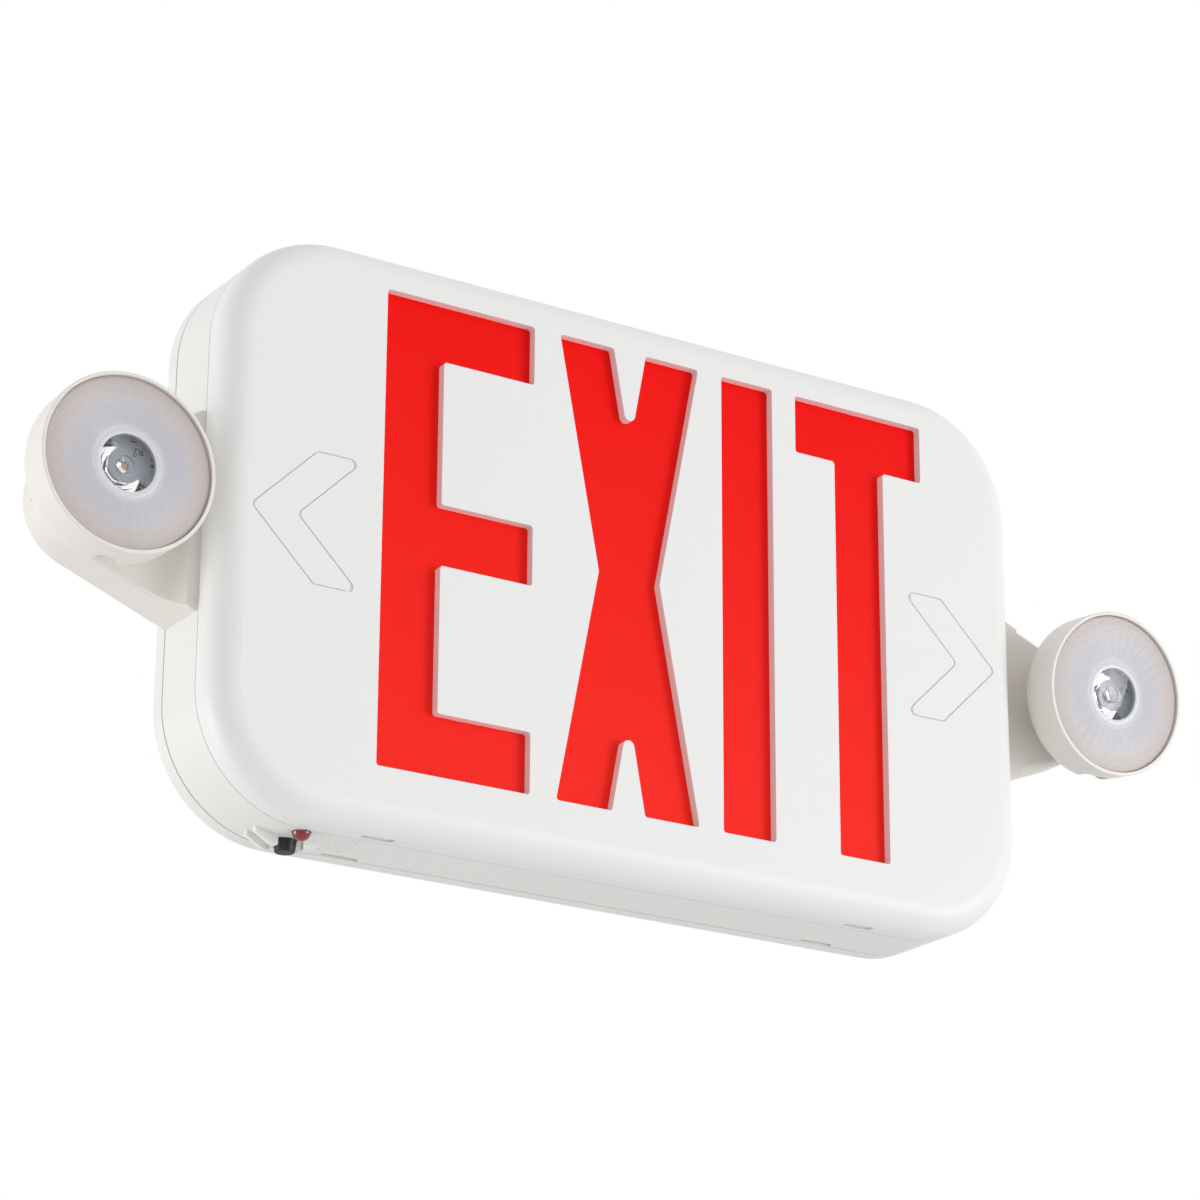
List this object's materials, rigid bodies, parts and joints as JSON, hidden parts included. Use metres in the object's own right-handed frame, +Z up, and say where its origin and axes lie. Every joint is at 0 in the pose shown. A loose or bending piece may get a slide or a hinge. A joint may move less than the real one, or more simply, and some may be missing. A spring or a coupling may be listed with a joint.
{
  "type": "emergency exit light",
  "caption": "Wall-mounted exit sign with red cut-out letters, direction knock-outs, a test button and two swivelling, tilting emergency lamp heads.",
  "frame": {"origin": "centre of the back plate's wall face, on the axis of its cable entry", "axes": "+X to the right of a person who faces the sign, +Y into the wall, +Z up"},
  "size_m": [0.4176, 0.0517, 0.1877],
  "materials": {
    "cover_white": "satin moulded",
    "housing_white": "satin moulded",
    "arm_white": "satin moulded",
    "lamp_white": "satin moulded",
    "legend_red": "translucent satin",
    "lens_clear": "ribbed frosted ring round a clear window",
    "board_white": "solder-resist gloss",
    "led_red": "moulded",
    "screw_steel": "zinc plated",
    "board_green": "solder-resist gloss",
    "transformer_iron": "varnished laminations",
    "terminal_green": "moulded",
    "battery_sleeve": "shrink sleeve",
    "strap_steel": "plated",
    "switch_black": "moulded",
    "button_black": "moulded",
    "indicator_red": "clear moulded dome",
    "clip_steel": "spring steel",
    "lamp_board": "coated board",
    "emitter_yellow": "phosphor under a clear dome"
  },
  "bodies": {
    "housing": {"front_cover": "cover_white", "legend_panel": "legend_red", "mid_housing": "housing_white", "back_plate": "housing_white", "light_strip_upper": "board_white", "light_strip_lower": "board_white", "legend_leds": "led_red", "strip_screws": "screw_steel", "control_board": "board_green", "control_screws": "screw_steel", "transformer": "transformer_iron", "terminal_block": "terminal_green", "battery_pack": "battery_sleeve", "battery_strap": "strap_steel", "strap_screws": "screw_steel", "service_board": "board_green", "test_switch": "switch_black", "ac_indicator": "indicator_red", "arm_right": "arm_white", "arm_left": "arm_white", "arm_cover_right": "arm_white", "arm_cover_left": "arm_white"},
    "button": {"test_button": "button_black", "switch_plunger": "switch_black"},
    "swivel_left": {"swivel_neck_left": "lamp_white", "swivel_clip_left": "clip_steel"},
    "lamp_left": {"lamp_cup_left": "lamp_white", "lamp_lens_left": "lens_clear", "lamp_board_left": "lamp_board", "lamp_emitter_left": "emitter_yellow", "lamp_screws_left": "screw_steel", "tilt_pin_left": "clip_steel"},
    "swivel_right": {"swivel_neck_right": "lamp_white", "swivel_clip_right": "clip_steel"},
    "lamp_right": {"lamp_cup_right": "lamp_white", "lamp_lens_right": "lens_clear", "lamp_board_right": "lamp_board", "lamp_emitter_right": "emitter_yellow", "lamp_screws_right": "screw_steel", "tilt_pin_right": "clip_steel"}
  },
  "joints": [
    {"name": "lamp_left_swivel", "type": "hinge", "parent": "housing", "child": "swivel_left", "pos_m": [-0.1813, -0.02, 0], "axis": [0, 1, 0], "range_deg": [-175, 175]},
    {"name": "lamp_left_tilt", "type": "hinge", "parent": "swivel_left", "child": "lamp_left", "pos_m": [-0.1813, -0.0343, 0], "axis": [1, 0, 0], "range_deg": [0, 28]},
    {"name": "lamp_right_swivel", "type": "hinge", "parent": "housing", "child": "swivel_right", "pos_m": [0.1813, -0.02, 0], "axis": [0, 1, 0], "range_deg": [-175, 175]},
    {"name": "lamp_right_tilt", "type": "hinge", "parent": "swivel_right", "child": "lamp_right", "pos_m": [0.1813, -0.0343, 0], "axis": [1, 0, 0], "range_deg": [-7.5, 20.5]},
    {"name": "test_button_press", "type": "slide", "parent": "housing", "child": "button", "axis": [0, 0, 1], "range_m": [0, 0.0015], "stiffness_N_per_m": 400}
  ]
}
